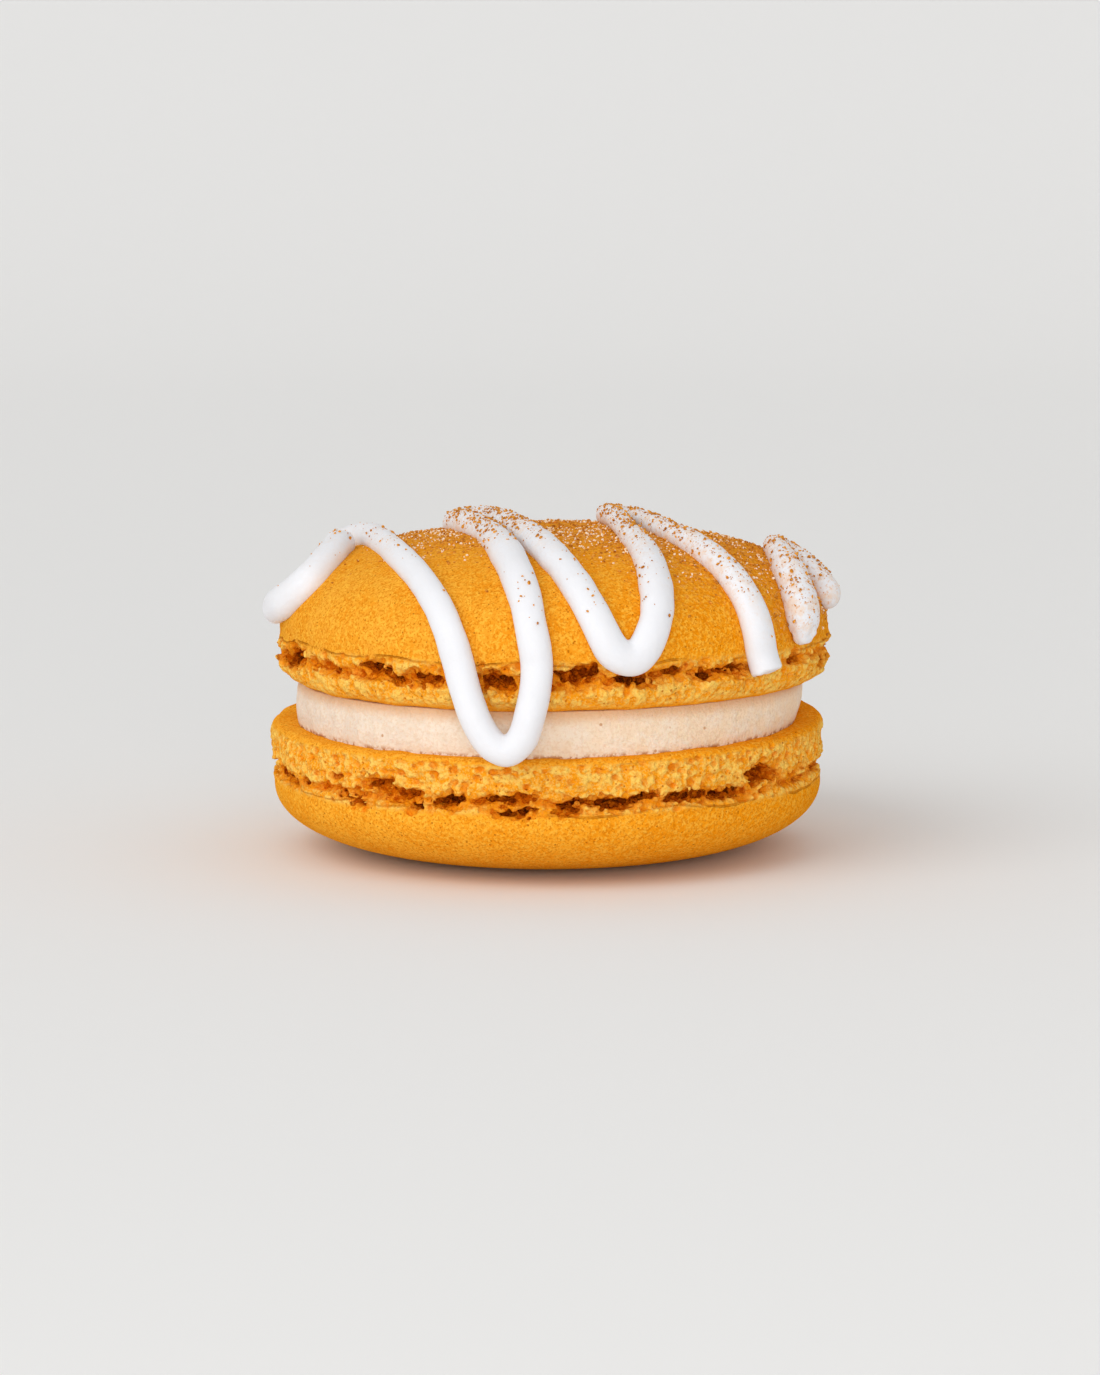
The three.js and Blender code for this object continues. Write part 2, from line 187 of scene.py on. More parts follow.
UPPER_SHELL = dict(
    height=UPPER_HEIGHT,
    corner=2.3,
    crack=2.7,
    skirt=3.9,
    shoulder=4.6,
    crown_radius=0.0,
    side_power=2.9,
    crown_power=2.2,
    seed=23,
    caves=[
        (-66, 2.7, 0.4, 0.25, 0.7),
        (-58.7, 2.9, 0.6, 0.3, 1.1),
        (-51.7, 2.7, 1.1, 0.35, 1.4),
        (-38.9, 3.1, 1.5, 0.5, 2.2),
        (-33.8, 2.4, 1.0, 0.4, 1.8),
        (-27, 2.6, 1.7, 0.55, 1.5),
        (-11.3, 2.6, 1.6, 0.8, 2.0),
        (5, 3.1, 2.1, 0.55, 1.9),
        (16, 2.4, 1.5, 0.45, 2.3),
        (24.8, 3.0, 1.1, 0.5, 1.5),
        (31.9, 2.6, 0.9, 0.35, 2.1),
        (38.6, 2.8, 1.5, 0.3, 1.4),
        (58, 2.8, 0.7, 0.3, 1.2),
    ],
)
CAVES_SEEN_TO = 66

# The icing's way over the dome, laid out flat from the crown: (right, back, extra lift, girth)
LEFT_STROKE = [
    (-26.9, -4.7, 0, 1.15),
    (-25.1, -7.5, 0, 1.25),
    (-22.7, -8.4, 0, 1.3),
    (-20.9, -5.8, 0.1, 1.3),
    (-19.8, -1, 0.3, 1.25),
]
ZIGZAG = [
    (-20.6, 5.4, 0.8, 0.85),
    (-18.9, 6, 0.6, 0.95),
    (-17.4, 3.6, 0.3, 0.95),
    (-15.9, -2.8, 0.1, 0.93),
    (-13.9, -11.4, 0, 0.9),
    (-11.5, -19.4, 0, 0.94),
    (-9.9, -25, 0, 0.97),
    (-9.4, -30.5, 0, 0.98),
    (-8.4, -34.6, 0, 1),
    (-7.3, -36.4, 0, 1),
    (-5.5, -37.35, 0, 1),
    (-3.8, -36.6, 0, 1),
    (-2.8, -34.9, 0, 0.97),
    (-1.8, -30.8, 0, 1),
    (-2.4, -25.2, 0, 1.05),
    (-3.9, -17.2, 0, 1.05),
    (-5.9, -6.4, 0, 0.95),
    (-8.1, 2.4, 0.1, 0.95),
    (-9, 7.6, 0.1, 1),
    (-7.2, 9.4, 0.1, 1),
    (-5.2, 4.8, 0, 1),
    (-2.9, -6.2, 0, 1),
    (0.2, -17.8, 0, 1),
    (3.5, -25.7, 0, 1.05),
    (5.9, -28.8, 0, 1.08),
    (8.1, -28.7, 0, 1.08),
    (9.2, -25.4, 0, 1.08),
    (8.6, -18.6, 0, 1),
    (6.8, -7.5, 0, 0.88),
    (5.7, 2.5, 0.35, 0.88),
    (5.4, 8.5, 0.2, 0.95),
    (7.2, 9.6, 0, 0.95),
    (8.2, 4.6, 0, 0.88),
    (10.4, -5.2, 0, 0.95),
    (14.8, -14.3, 0, 1.03),
    (18.5, -19.6, 0, 1.08),
    (22.5, -22.8, 0, 1.03),
]
SIDE_STROKE = [
    (25, -15.6, 0.3, 0.75),
    (24, -14.6, 0.3, 1.2),
    (21.9, -10.8, 0.3, 1.25),
    (20.7, -4.6, 0.2, 1.1),
    (20.6, 0.8, 0, 0.95),
    (21.6, 3.6, 0, 0.95),
    (22.8, 1.4, 0, 0.95),
    (24.4, -2, 0, 1),
    (26.1, -4.2, 0, 1.15),
]


def ease(t):
    t = np.clip(t, 0, 1)
    return t * t * (3 - 2 * t)


def lattice(ix, iy, iz, seed):
    """A repeatable number from 0 to 1 for each point of a lattice."""
    x, y, z = (np.asarray(i, dtype=np.int64).astype(np.uint32) for i in (ix, iy, iz))
    with np.errstate(over="ignore"):
        h = x * np.uint32(374761393) + y * np.uint32(668265263) + z * np.uint32(1274126177)
        h = ((h + np.uint32(seed * 362437)) ^ (h >> np.uint32(13))) * np.uint32(1103515245)
        h = (h ^ (h >> np.uint32(15))) * np.uint32(0x85EBCA77)
        return ((h ^ (h >> np.uint32(16))) / 4294967296).astype(np.float32)


def noise(points, cell, seed):
    """Smooth noise from -1 to 1 at each of many points, with features about one cell across."""
    q = points / cell
    low = np.floor(q).astype(np.int64)
    blend = ease(q - low).astype(np.float32)
    first = low.min(axis=0)
    size = low.max(axis=0) - first + 2
    axes = [np.arange(n) + start for n, start in zip(size, first)]
    table = lattice(*np.meshgrid(*axes, indexing="ij"), seed).ravel()
    stride = np.array([size[1] * size[2], size[2], 1])
    at = (low - first) @ stride
    total = np.zeros(len(points), dtype=np.float32)
    for corner in range(8):
        step = np.array([corner & 1, (corner >> 1) & 1, corner >> 2])
        weight = np.prod(np.where(step, blend, 1 - blend), axis=1)
        total += weight * table[at + int(step @ stride)]
    return 2 * total - 1


def smooth_most(a, b, width):
    """The larger of two fields, rounded where they cross."""
    h = np.clip(0.5 + 0.5 * (a - b) / width, 0, 1)
    return b + (a - b) * h + width * h * (1 - h)


class Field:
    """A block of space in small cells, holding at each the distance to a surface: negative is inside it."""

    def __init__(self, low, high, cell):
        self.cell = cell
        self.axes = [np.arange(a, b, cell, dtype=np.float32) for a, b in zip(low, high)]
        self.values = np.full([len(axis) for axis in self.axes], FAR_AWAY, dtype=np.float32)

    def window(self, low, high):
        """The part of the block between two corners, as slices and its points."""
        slices = []
        for axis, a, b in zip(self.axes, low, high):
            start = int(np.searchsorted(axis, a))
            slices.append(slice(start, max(start + 1, int(np.searchsorted(axis, b)))))
        grids = np.meshgrid(*[axis[s] for axis, s in zip(self.axes, slices)], indexing="ij")
        return tuple(slices), np.stack(grids, axis=-1)

    def near(self, reach):
        """The cells close to the surface, as indices and points."""
        at = np.nonzero(np.abs(self.values) < reach)
        return at, np.stack([axis[i] for axis, i in zip(self.axes, at)], axis=1)

    def sample(self, points):
        """The field between its cells at each of many points."""
        low = np.array([axis[0] for axis in self.axes])
        most = np.array(self.values.shape) - 1.001
        at = np.clip((points - low) / self.cell, 0, most)
        cell = at.astype(int)
        t = at - cell
        total = 0
        for corner in range(8):
            step = np.array([corner & 1, (corner >> 1) & 1, corner >> 2])
            weight = np.prod(np.where(step, t, 1 - t), axis=1)
            total = total + weight * self.values[tuple((cell + step).T)]
        return total

    def mesh(self):
        """Points and faces of the surface."""
        reach = 2 * self.cell
        grid = openvdb.FloatGrid(reach)
        grid.copyFromArray(np.clip(self.values, -reach, reach))
        points, _, quads = grid.convertToPolygons(isovalue=0.0, adaptivity=0.0)
        low = np.array([axis[0] for axis in self.axes])
        return points * self.cell + low, quads


def largest_body(points, faces):
    """The largest connected part of a mesh, without loose scraps and sealed bubbles."""
    label = np.arange(len(points))
    while True:
        least = label[faces].min(axis=1)
        before = label.copy()
        for k in range(faces.shape[1]):
            np.minimum.at(label, faces[:, k], least)
        label = label[label]
        if np.array_equal(label, before):
            break
    main = np.bincount(label).argmax()
    kept = label == main
    renumber = np.cumsum(kept) - 1
    return points[kept], renumber[faces[kept[faces[:, 0]]]]


def shell_profile(shell):
    """A shell's section as radii and heights, from its flat face to its crown."""
    corner, shoulder = shell["corner"], shell["shoulder"]
    a = np.linspace(0, math.pi / 2, 12)
    r = list(SHELL_RADIUS - corner + corner * np.sin(a))
    h = list(corner * (1 - np.cos(a)))
    a = np.linspace(0, math.pi / 2, 80)
    across = np.cos(a).clip(0) ** (2 / shell["side_power"])
    up = np.sin(a) ** (2 / shell["crown_power"])
    r += list(shell["crown_radius"] + (SHELL_RADIUS - shell["crown_radius"]) * across)
    h += list(shoulder + (shell["height"] - shoulder) * up)
    return np.array(r), np.array(h)


def profile_distance(shell, radii, heights):
    """Signed distance to a shell's plain section, as a table of heights by radii."""
    r, h = shell_profile(shell)
    r = np.concatenate([[0], r, [0]])
    h = np.concatenate([[0], h, [shell["height"]]])
    grid_r, grid_h = np.meshgrid(radii, heights)
    best = np.full(grid_r.shape, 1e9)
    for r0, h0, r1, h1 in zip(r[:-1], h[:-1], r[1:], h[1:]):
        dr, dh = r1 - r0, h1 - h0
        length = max(dr * dr + dh * dh, 1e-12)
        t = np.clip(((grid_r - r0) * dr + (grid_h - h0) * dh) / length, 0, 1)
        best = np.minimum(best, np.hypot(grid_r - r0 - t * dr, grid_h - h0 - t * dh))
    edge = np.interp(grid_h, h[1:], r[1:])
    inside = (grid_h > 0) & (grid_h < shell["height"]) & (grid_r < edge)
    return np.where(inside, -best, best)


def caves_round(shell):
    """The shell's caves, with those at the sides and back drawn in the same sizes."""
    caves = list(shell["caves"])

    def draw(low, high, k, row):
        return low + (high - low) * float(lattice(k, row, 0, shell["seed"]))

    angle = CAVES_SEEN_TO
    k = 0
    while angle < 354 - CAVES_SEEN_TO:
        angle += draw(5, 12, k, 1)
        height = shell["crack"] + draw(-0.8, 0.8, k, 2)
        caves.append((angle, height, draw(0.6, 2.2, k, 3), draw(0.3, 0.75, k, 4), draw(1.2, 2.3, k, 5)))
        k += 1
    return caves


class Shell:
    """One baked shell, lying in the frame either way up."""

    def __init__(self, shell, base, flip, shift):
        self.shell, self.base, self.flip, self.shift = shell, base, flip, shift
        top = shell["height"] + SPARE_HEIGHT
        low, high = (base - top, base + SPARE_HEIGHT) if flip else (base - SPARE_HEIGHT, base + top)
        reach = SHELL_RADIUS + SPARE_WIDTH
        self.field = Field((-reach, -reach, low), (reach, reach, high), SHELL_VOXEL)

    def height(self, z):
        """Height over the shell's flat face, towards its crown."""
        return self.base - z if self.flip else z - self.base

    def level(self, h):
        """The frame's z at a height over the flat face."""
        return self.base - h if self.flip else self.base + h

    def plain(self):
        """Fills the block with the distance to the plain form."""
        x, y, z = self.field.axes
        radius = np.hypot(x[:, None], y[None, :])
        radii = np.arange(0, 38, 0.1)
        table = profile_distance(self.shell, radii, self.height(z))
        rows = [np.interp(radius, radii, row).astype(np.float32) for row in table]
        self.field.values = np.stack(rows, axis=-1)

    def round_it(self, angle, h):
        """The place on a plain upright wall at an angle from the front and a height."""
        return np.stack([SHELL_RADIUS * np.sin(angle), -SHELL_RADIUS * np.cos(angle), h], axis=1)

    def relief(self, angle, h):
        """How far the foot stands out at each place: the solid part's lumps, with finer sponge on them."""
        shell = self.shell
        seed = shell["seed"]
        places = self.round_it(angle, h)
        rim = RIM_LUMPS + (1 - RIM_LUMPS) * ease(h / RIM_REACH)
        lumps = 0.1 + rim * (0.3 * noise(places, 2.3, seed) + 0.18 * noise(places, 1.2, seed + 1))
        in_foot = ease((shell["shoulder"] - h) / FADE)
        in_sponge = ease((shell["skirt"] + 0.4 - h) / 0.8) * ease((h - 0.15) / 0.6)
        return in_foot * lumps + in_sponge * (self.sponge(places) - 0.1)

    def sponge(self, places):
        """The fine granular lumps of the foot."""
        seed = self.shell["seed"]
        coarse = 0.24 * np.abs(noise(places, 0.85, seed + 7)) + 0.2 * np.abs(noise(places, 0.45, seed + 8))
        return coarse + 0.07 * noise(places, 0.33, seed + 6)

    def groove(self, angle, h):
        """How deep the torn crack between foot and dome is at each place."""
        shell = self.shell
        seed = shell["seed"]
        places = self.round_it(angle, h)
        level = places * (1, 1, 0)
        crack = shell["crack"] + 0.35 * noise(level, 3.5, seed + 2) + 0.28 * noise(level, 0.8, seed + 3)
        depth = CRACK_DEPTH + 0.35 * noise(level, 1.5, seed + 4) + 0.3 * noise(places, 0.45, seed + 5)
        return np.maximum(0, depth) * np.exp(-(((h - crack) / CRACK_HALF_HEIGHT) ** 2))

    def shape_foot(self, out):
        """Moves the foot's surface out by a function of angle and height."""
        at, points = self.field.near(SURFACE_REACH)
        radius = np.hypot(points[:, 0], points[:, 1])
        h = self.height(points[:, 2])
        foot = (radius > SEAT_RADIUS) & (h < self.shell["shoulder"] + FADE)
        cells = tuple(i[foot] for i in at)
        angle = np.arctan2(points[foot, 0], -points[foot, 1])
        edge = ease((radius[foot] - SEAT_RADIUS) / FADE)
        self.field.values[cells] -= edge * out(angle, h[foot])

    def swell_dome(self):
        """Makes the dome slightly uneven."""
        at, points = self.field.near(SURFACE_REACH)
        dome = self.height(points[:, 2]) > self.shell["shoulder"]
        cells = tuple(i[dome] for i in at)
        self.field.values[cells] -= 0.16 * noise(points[dome], 9, self.shell["seed"] + 5)

    def hollow(self, degrees, at, half_width, half_height, depth):
        """Cuts one torn hollow into the side, with ragged edges and rough walls."""
        seed = self.shell["seed"]
        angle = math.radians(degrees)
        middle = SHELL_RADIUS * np.array([math.sin(angle), -math.cos(angle)])
        reach = half_width + depth + 0.9
        level = self.level(at)
        rise = half_height + 0.7
        slices, points = self.field.window(
            (middle[0] - reach, middle[1] - reach, level - rise),
            (middle[0] + reach, middle[1] + reach, level + rise),
        )
        flat = points.reshape(-1, 3)
        turn = np.arctan2(flat[:, 0], -flat[:, 1]) - angle
        along = SHELL_RADIUS * np.arctan2(np.sin(turn), np.cos(turn))
        along += 0.7 * noise(flat, 1.1, seed + 20) + 0.5 * noise(flat, 0.5, seed + 21)
        off = self.height(flat[:, 2]) - at
        off += 0.35 * noise(flat, 0.9, seed + 22) + 0.32 * noise(flat, 0.42, seed + 23)
        inward = SHELL_RADIUS - np.hypot(flat[:, 0], flat[:, 1])
        size = np.sqrt((along / half_width) ** 2 + (off / half_height) ** 2 + (inward / depth) ** 2)
        hole = (size - 1) * min(half_height, depth) + 0.2 * noise(flat, 0.36, seed + 24)
        values = self.field.values
        values[slices] = smooth_most(values[slices], -hole.reshape(points.shape[:3]), 0.08)

    def caves(self):
        """Opens the caves: a shallow apron round each, which painted shade turns brown, and the deep hole
        in it.
        """
        for degrees, at, half_width, half_height, depth in caves_round(self.shell):
            self.hollow(degrees, at, 1.3 * half_width + 0.4, 1.2 * half_height + 0.2, 0.15 + 0.15 * depth)
            self.hollow(degrees, at, half_width + 0.25, half_height + 0.1, depth + 0.4)

    def pits(self):
        """Small open bubbles of the porous foot."""
        rng = np.random.default_rng(self.shell["seed"])
        angles = rng.uniform(-math.pi, math.pi, PIT_COUNT)
        heights = rng.uniform(0.3, self.shell["skirt"], PIT_COUNT)
        sizes = LEAST_PIT + PIT_SPREAD * rng.random(PIT_COUNT) ** 3
        out = self.relief(angles, heights) - self.groove(angles, heights)
        radii = SHELL_RADIUS + out + 0.05 * sizes
        stretches = rng.uniform(0.6, 1.0, PIT_COUNT)
        for angle, height, size, radius, stretch in zip(angles, heights, sizes, radii, stretches):
            centre = np.array([radius * math.sin(angle), -radius * math.cos(angle), self.level(height)])
            slices, points = self.field.window(centre - size - 0.2, centre + size + 0.2)
            offset = (points - centre) * (1, 1, 1 / stretch)
            torn = 0.12 * noise(points.reshape(-1, 3), 0.3, self.shell["seed"] + 25)
            pit = np.linalg.norm(offset, axis=-1) - size + torn.reshape(points.shape[:3])
            values = self.field.values
            values[slices] = smooth_most(values[slices], -pit, 0.06)

    def mark(self, mesh, places, whole):
        """Stores for the paint the depth below the whole crust, where sponge shows and how far it rises."""
        h = self.height(places[:, 2])
        # The depth drives the painted shade in the caves
        attribute(mesh, "depth", np.maximum(0, -whole.sample(places)))
        wander = 0.25 * noise(places, 2.5, self.shell["seed"] + 9)
        sponge = ease((self.shell["skirt"] + 0.3 + wander - h) / 0.6) * ease((h - 0.2) / 0.35)
        attribute(mesh, "foot", sponge)
        angle = np.arctan2(places[:, 0], -places[:, 1])
        # The rise drives the painted highlight on the sponge's lumps
        attribute(mesh, "rise", ease(self.sponge(self.round_it(angle, h)) / 0.3))

    def build(self, name):
        """Makes the shell's mesh, in its place in the frame."""
        self.plain()
        self.shape_foot(self.relief)
        if not self.flip:
            self.swell_dome()
        whole = copy.copy(self.field)
        whole.values = self.field.values.copy()
        self.shape_foot(lambda angle, h: -self.groove(angle, h))
        self.caves()
        self.pits()
        piece = new_mesh(name, *largest_body(*self.field.mesh()))
        thin_out(piece)
        places = places_of(piece.data)
        self.mark(piece.data, places, whole)
        settle(places)
        places[:, 0] += self.shift
        attribute(piece.data, "dust", np.zeros(len(places)) if self.flip else dust_at(places))
        lean(places)
        set_places(piece.data, places)
        return piece


def new_mesh(name, points, faces):
    """A smooth object from points and from faces that all have the same number of corners."""
    mesh = bpy.data.meshes.new(name)
    faces = np.asarray(faces, dtype=np.int32)
    sides = faces.shape[1]
    mesh.vertices.add(len(points))
    mesh.vertices.foreach_set("co", np.asarray(points, dtype=np.float32).ravel())
    mesh.loops.add(faces.size)
    mesh.loops.foreach_set("vertex_index", faces.ravel())
    mesh.polygons.add(len(faces))
    mesh.polygons.foreach_set("loop_start", np.arange(0, faces.size, sides, dtype=np.int32))
    mesh.update(calc_edges=True)
    mesh.validate()
    mesh.shade_smooth()
    piece = bpy.data.objects.new(name, mesh)
    bpy.context.scene.collection.objects.link(piece)
    return piece


def thin_out(piece):
    """Merges faces where a surface is plain, until the mesh is light enough."""
    triangles = sum(face.loop_total - 2 for face in piece.data.polygons)
    if triangles <= MOST_TRIANGLES:
        return
    modifier = piece.modifiers.new("thin", "DECIMATE")
    modifier.ratio = MOST_TRIANGLES / triangles
    graph = bpy.context.evaluated_depsgraph_get()
    mesh = bpy.data.meshes.new_from_object(piece.evaluated_get(graph))
    piece.modifiers.clear()
    old = piece.data
    piece.data = mesh
    bpy.data.meshes.remove(old)
    mesh.name = piece.name
    mesh.shade_smooth()


def places_of(mesh):
    """A mesh's points, as rows."""
    places = np.empty(len(mesh.vertices) * 3, dtype=np.float32)
    mesh.vertices.foreach_get("co", places)
    return places.reshape(-1, 3)


def set_places(mesh, places):
    """Stores places in millimetres as a mesh's points in metres."""
    mesh.vertices.foreach_set("co", (places / 1000).astype(np.float32).ravel())
    mesh.update()


def attribute(mesh, name, values):
    """Stores one number for each point of a mesh."""
    layer = mesh.attributes.new(name, "FLOAT", "POINT")
    layer.data.foreach_set("value", np.asarray(values, dtype=np.float32))


def settle(places):
    """Lets the two rims that face each other sag a little to the front."""
    places[:, 2] += np.interp(places[:, 2], *FRONT_DIPS) * places[:, 1] / SHELL_RADIUS


def lean(places):
    """Leans everything over the resting spot a little to the right."""
    places[:, 2] += LEAN * places[:, 0] * np.minimum(1, places[:, 2] / LOWER_HEIGHT)


def dust_at(places):
    """How thickly dust lies at each place, from 0 to 1: on top, less to the left and the front."""
    across = places[:, 0] - UPPER_SHIFT
    left = 0.2 + 0.8 * ease((across + 18) / 6)
    top = ease((places[:, 2] - 21) / 6)
    back = ease((places[:, 1] + 0.3 * across + 21.5) / 15)
    side = ease((across - 17) / 4) * ease((places[:, 2] - 19.5) / 3)
    return np.maximum(top * back * left, side)


def smooth_curve(points, steps=24):
    """Points along a centripetal Catmull-Rom curve through the given places."""
    given = np.array(points, dtype=float)
    p = np.vstack([2 * given[0] - given[1], given, 2 * given[-1] - given[-2]])
    line = []
    t = np.linspace(0, 1, steps, endpoint=False)[:, None]
    for p0, p1, p2, p3 in zip(p, p[1:], p[2:], p[3:]):
        spans = ((p0, p1), (p1, p2), (p2, p3))
        d0, d1, d2 = (math.sqrt(np.linalg.norm((b - a)[:3])) or 1 for a, b in spans)
        m1 = ((p1 - p0) / d0 - (p2 - p0) / (d0 + d1) + (p2 - p1) / d1) * d1
        m2 = ((p2 - p1) / d1 - (p3 - p1) / (d1 + d2) + (p3 - p2) / d2) * d1
        line.append(p1 + m1 * t + (3 * (p2 - p1) - 2 * m1 - m2) * t**2 + (2 * (p1 - p2) + m1 + m2) * t**3)
    return np.vstack([*line, given[-1:]])


def evenly(line, spacing):
    """The same line with its points evenly spaced along its first three coordinates."""
    run = np.concatenate([[0], np.cumsum(np.linalg.norm(np.diff(line[:, :3], axis=0), axis=1))])
    at = np.linspace(0, run[-1], int(run[-1] / spacing) + 1)
    return np.stack([np.interp(at, run, column) for column in line.T], axis=1)


def bead_profile():
    """The line that the icing's centre keeps to, from the crown over the edge: distance, radius, height."""
    radius = SHELL_RADIUS + SIDE_LIFT
    shoulder = UPPER_BASE + UPPER_SHELL["shoulder"]
    rise = UPPER_HEIGHT - UPPER_SHELL["shoulder"] + CROWN_LIFT
    a = np.linspace(0, math.pi / 2, 201)
    r = radius * np.sin(a) ** (2 / UPPER_SHELL["side_power"])
    z = shoulder + rise * np.cos(a).clip(0) ** (2 / UPPER_SHELL["crown_power"])
    drop = np.arange(0.2, 2 * OVERHANG_DROP, 0.2)
    r = np.concatenate([r, radius + (OVERHANG_RADIUS - radius) * ease(drop / OVERHANG_DROP)])
    z = np.concatenate([z, shoulder - drop])
    distance = np.concatenate([[0], np.cumsum(np.hypot(np.diff(r), np.diff(z)))])
    return distance, r, z


def stroke_line(places):
    """The centre line of one stroke of icing in space, with its girth as a fourth column."""
    flat = evenly(smooth_curve(places), 0.25)
    distance, r, z = bead_profile()
    run = np.hypot(flat[:, 0], flat[:, 1])
    angle = np.arctan2(flat[:, 0], -flat[:, 1])
    radius = np.interp(run, distance, r)
    height = np.interp(run, distance, z) + flat[:, 2]
    x = UPPER_SHIFT + radius * np.sin(angle)
    y = -radius * np.cos(angle)
    return evenly(np.stack([x, y, height, flat[:, 3]], axis=1), 0.25)


def pipe(field, places, seed, cut=False):
    """Lays one stroke into a field as a row of flattened balls, and cuts its end off straight if asked."""
    middle = np.array([UPPER_SHIFT, 0, UPPER_BASE])
    line = stroke_line(places)
    centres = line[:, :3]
    swell = 1 + 0.07 * noise(centres, 5, seed) + 0.03 * noise(centres, 1.6, seed + 1)
    girths = BEAD_RADIUS * line[:, 3] * swell
    end = centres[-1]
    ahead = (end - centres[-4]) / np.linalg.norm(end - centres[-4])
    for k, (centre, girth) in enumerate(zip(centres, girths)):
        outward = (centre - middle) / np.linalg.norm(centre - middle)
        drop = UPPER_BASE + UPPER_SHELL["shoulder"] - centre[2]
        flattening = BEAD_FLATTENING + (1 - BEAD_FLATTENING) * float(ease(drop / OVERHANG_DROP))
        slices, points = field.window(centre - girth - 0.5, centre + girth + 0.5)
        offset = points - centre
        squared = (offset**2).sum(axis=-1) + (offset @ outward) ** 2 * (1 / flattening**2 - 1)
        ball = np.sqrt(squared) - girth
        if cut and k > len(centres) - CUT_REACH:
            ragged = 0.16 * noise(points.reshape(-1, 3), 0.5, seed + 2).reshape(ball.shape)
            ball = np.maximum(ball, (points - end) @ ahead + ragged)
        field.values[slices] = np.minimum(field.values[slices], ball)


def soften(field, rounds):
    """Rounds the creases of a field where strokes meet."""
    values = field.values
    for _ in range(rounds):
        for axis in range(3):
            values = 0.5 * values + 0.25 * (np.roll(values, 1, axis) + np.roll(values, -1, axis))
    field.values = values.astype(np.float32)


def build_icing():
    """The piped icing: strokes that run into each other, flattened where they lie on the dome."""
    field = Field((-31, -31, 10), (31, 16, 33.5), ICING_VOXEL)
    pipe(field, LEFT_STROKE, 42)
    pipe(field, ZIGZAG, 41, cut=True)
    pipe(field, SIDE_STROKE, 43)
    soften(field, 1)
    at, points = field.near(0.5)
    tip = np.exp(-(((points - stroke_line(SIDE_STROKE)[0, :3]) / 1.3) ** 2).sum(axis=1))
    field.values[at] -= 0.05 * noise(points, 1.8, 47) + 0.015 * noise(points, 0.6, 48)
    field.values[at] -= 0.35 * tip * noise(points, 0.55, 49)
    piece = new_mesh("icing", *field.mesh())
    thin_out(piece)
    places = places_of(piece.data)
    attribute(piece.data, "dust", dust_at(places))
    lean(places)
    set_places(piece.data, places)
    return piece


def build_filling():
    """The cream: a smooth disc, slightly torn where it meets the lower shell."""
    sides, rows = 900, 60
    low, high = LOWER_HEIGHT + FILLING_GAP, UPPER_BASE - FILLING_GAP
    round_angles = np.arange(sides) * 2 * math.pi / sides
    t, angle = np.meshgrid(np.linspace(0, 1, rows), round_angles, indexing="ij")
    t, angle = t.ravel(), angle.ravel()
    radius = FILLING_RADIUS - 0.25 * t**4 - FILLING_DRAW * (1 - np.cos(angle)) * (1 - t) ** 3
    points = np.stack([radius * np.sin(angle), -radius * np.cos(angle), low + (high - low) * t], axis=1)
    waves = 0.16 * noise(points, 5, 31) + 0.05 * noise(points * (1, 1, 2), 1.7, 32)
    radius += waves + 0.02 * noise(points, 0.5, 33)
    tear = 0.06 * noise(points, 1.1, 34) + 0.04 * noise(points, 0.45, 35)
    radius -= (1 - t) ** 10 * np.maximum(0, tear)
    points[:, 0] = radius * np.sin(angle) + UPPER_SHIFT / 2 * t
    points[:, 1] = FILLING_SHIFT - radius * np.cos(angle)
    row = np.arange(sides)
    ring = np.stack([row, np.roll(row, -1), np.roll(row, -1) + sides, row + sides], axis=1)
    faces = (ring[None] + sides * np.arange(rows - 1)[:, None, None]).reshape(-1, 4)
    piece = new_mesh("cream", points, faces)
    close_ends(piece)
    places = places_of(piece.data)
    # Where the painted seam shade lies: the lowest half millimetre of the cream
    attribute(piece.data, "foot", ease((LOWER_HEIGHT + 0.5 - places[:, 2]) / 0.45))
    # Where the painted shade under the upper shell lies: the top millimetre or so of the cream
    attribute(piece.data, "lid_shade", ease((places[:, 2] - UPPER_BASE + 1.3) / 1.2))
    settle(places)
    lean(places)
    set_places(piece.data, places)
    return piece


def close_ends(piece):
    """Closes the open rims of a tube with fans."""
    bm = bmesh.new()
    bm.from_mesh(piece.data)
    rim = [edge for edge in bm.edges if edge.is_boundary]
    for level in {round(edge.verts[0].co.z, 3) for edge in rim}:
        centre = bm.verts.new((0, 0, level))
        for edge in rim:
            if abs(edge.verts[0].co.z - level) < 0.01:
                bm.faces.new([*edge.verts, centre])
    bmesh.ops.recalc_face_normals(bm, faces=bm.faces)
    for face in bm.faces:
        face.smooth = True
    bm.to_mesh(piece.data)
    bm.free()


def surface_samples(piece, rng, density):
    """Random places on a piece's upward faces, as many to each square millimetre as density asks for."""
    mesh = piece.data
    mesh.calc_loop_triangles()
    corners = np.empty(len(mesh.loop_triangles) * 3, dtype=np.int32)
    mesh.loop_triangles.foreach_get("vertices", corners)
    triangles = (places_of(mesh) * 1000)[corners.reshape(-1, 3)]
    normal = np.cross(triangles[:, 1] - triangles[:, 0], triangles[:, 2] - triangles[:, 0])
    area = np.linalg.norm(normal, axis=1) / 2
    normal = normal / np.maximum(2 * area, 1e-9)[:, None]
    wanted = area * density(triangles.mean(axis=1)) * np.clip(normal[:, 2] + 0.15, 0, 1)
    chosen = np.repeat(np.arange(len(area)), rng.poisson(wanted))
    u, v = rng.random(len(chosen)), rng.random(len(chosen))
    over = u + v > 1
    u[over], v[over] = 1 - u[over], 1 - v[over]
    a, b, c = (triangles[chosen, k] for k in range(3))
    return a + (b - a) * u[:, None] + (c - a) * v[:, None], normal[chosen]


def unit(vectors):
    """Each row scaled to length 1."""
    return vectors / np.linalg.norm(vectors, axis=1)[:, None]


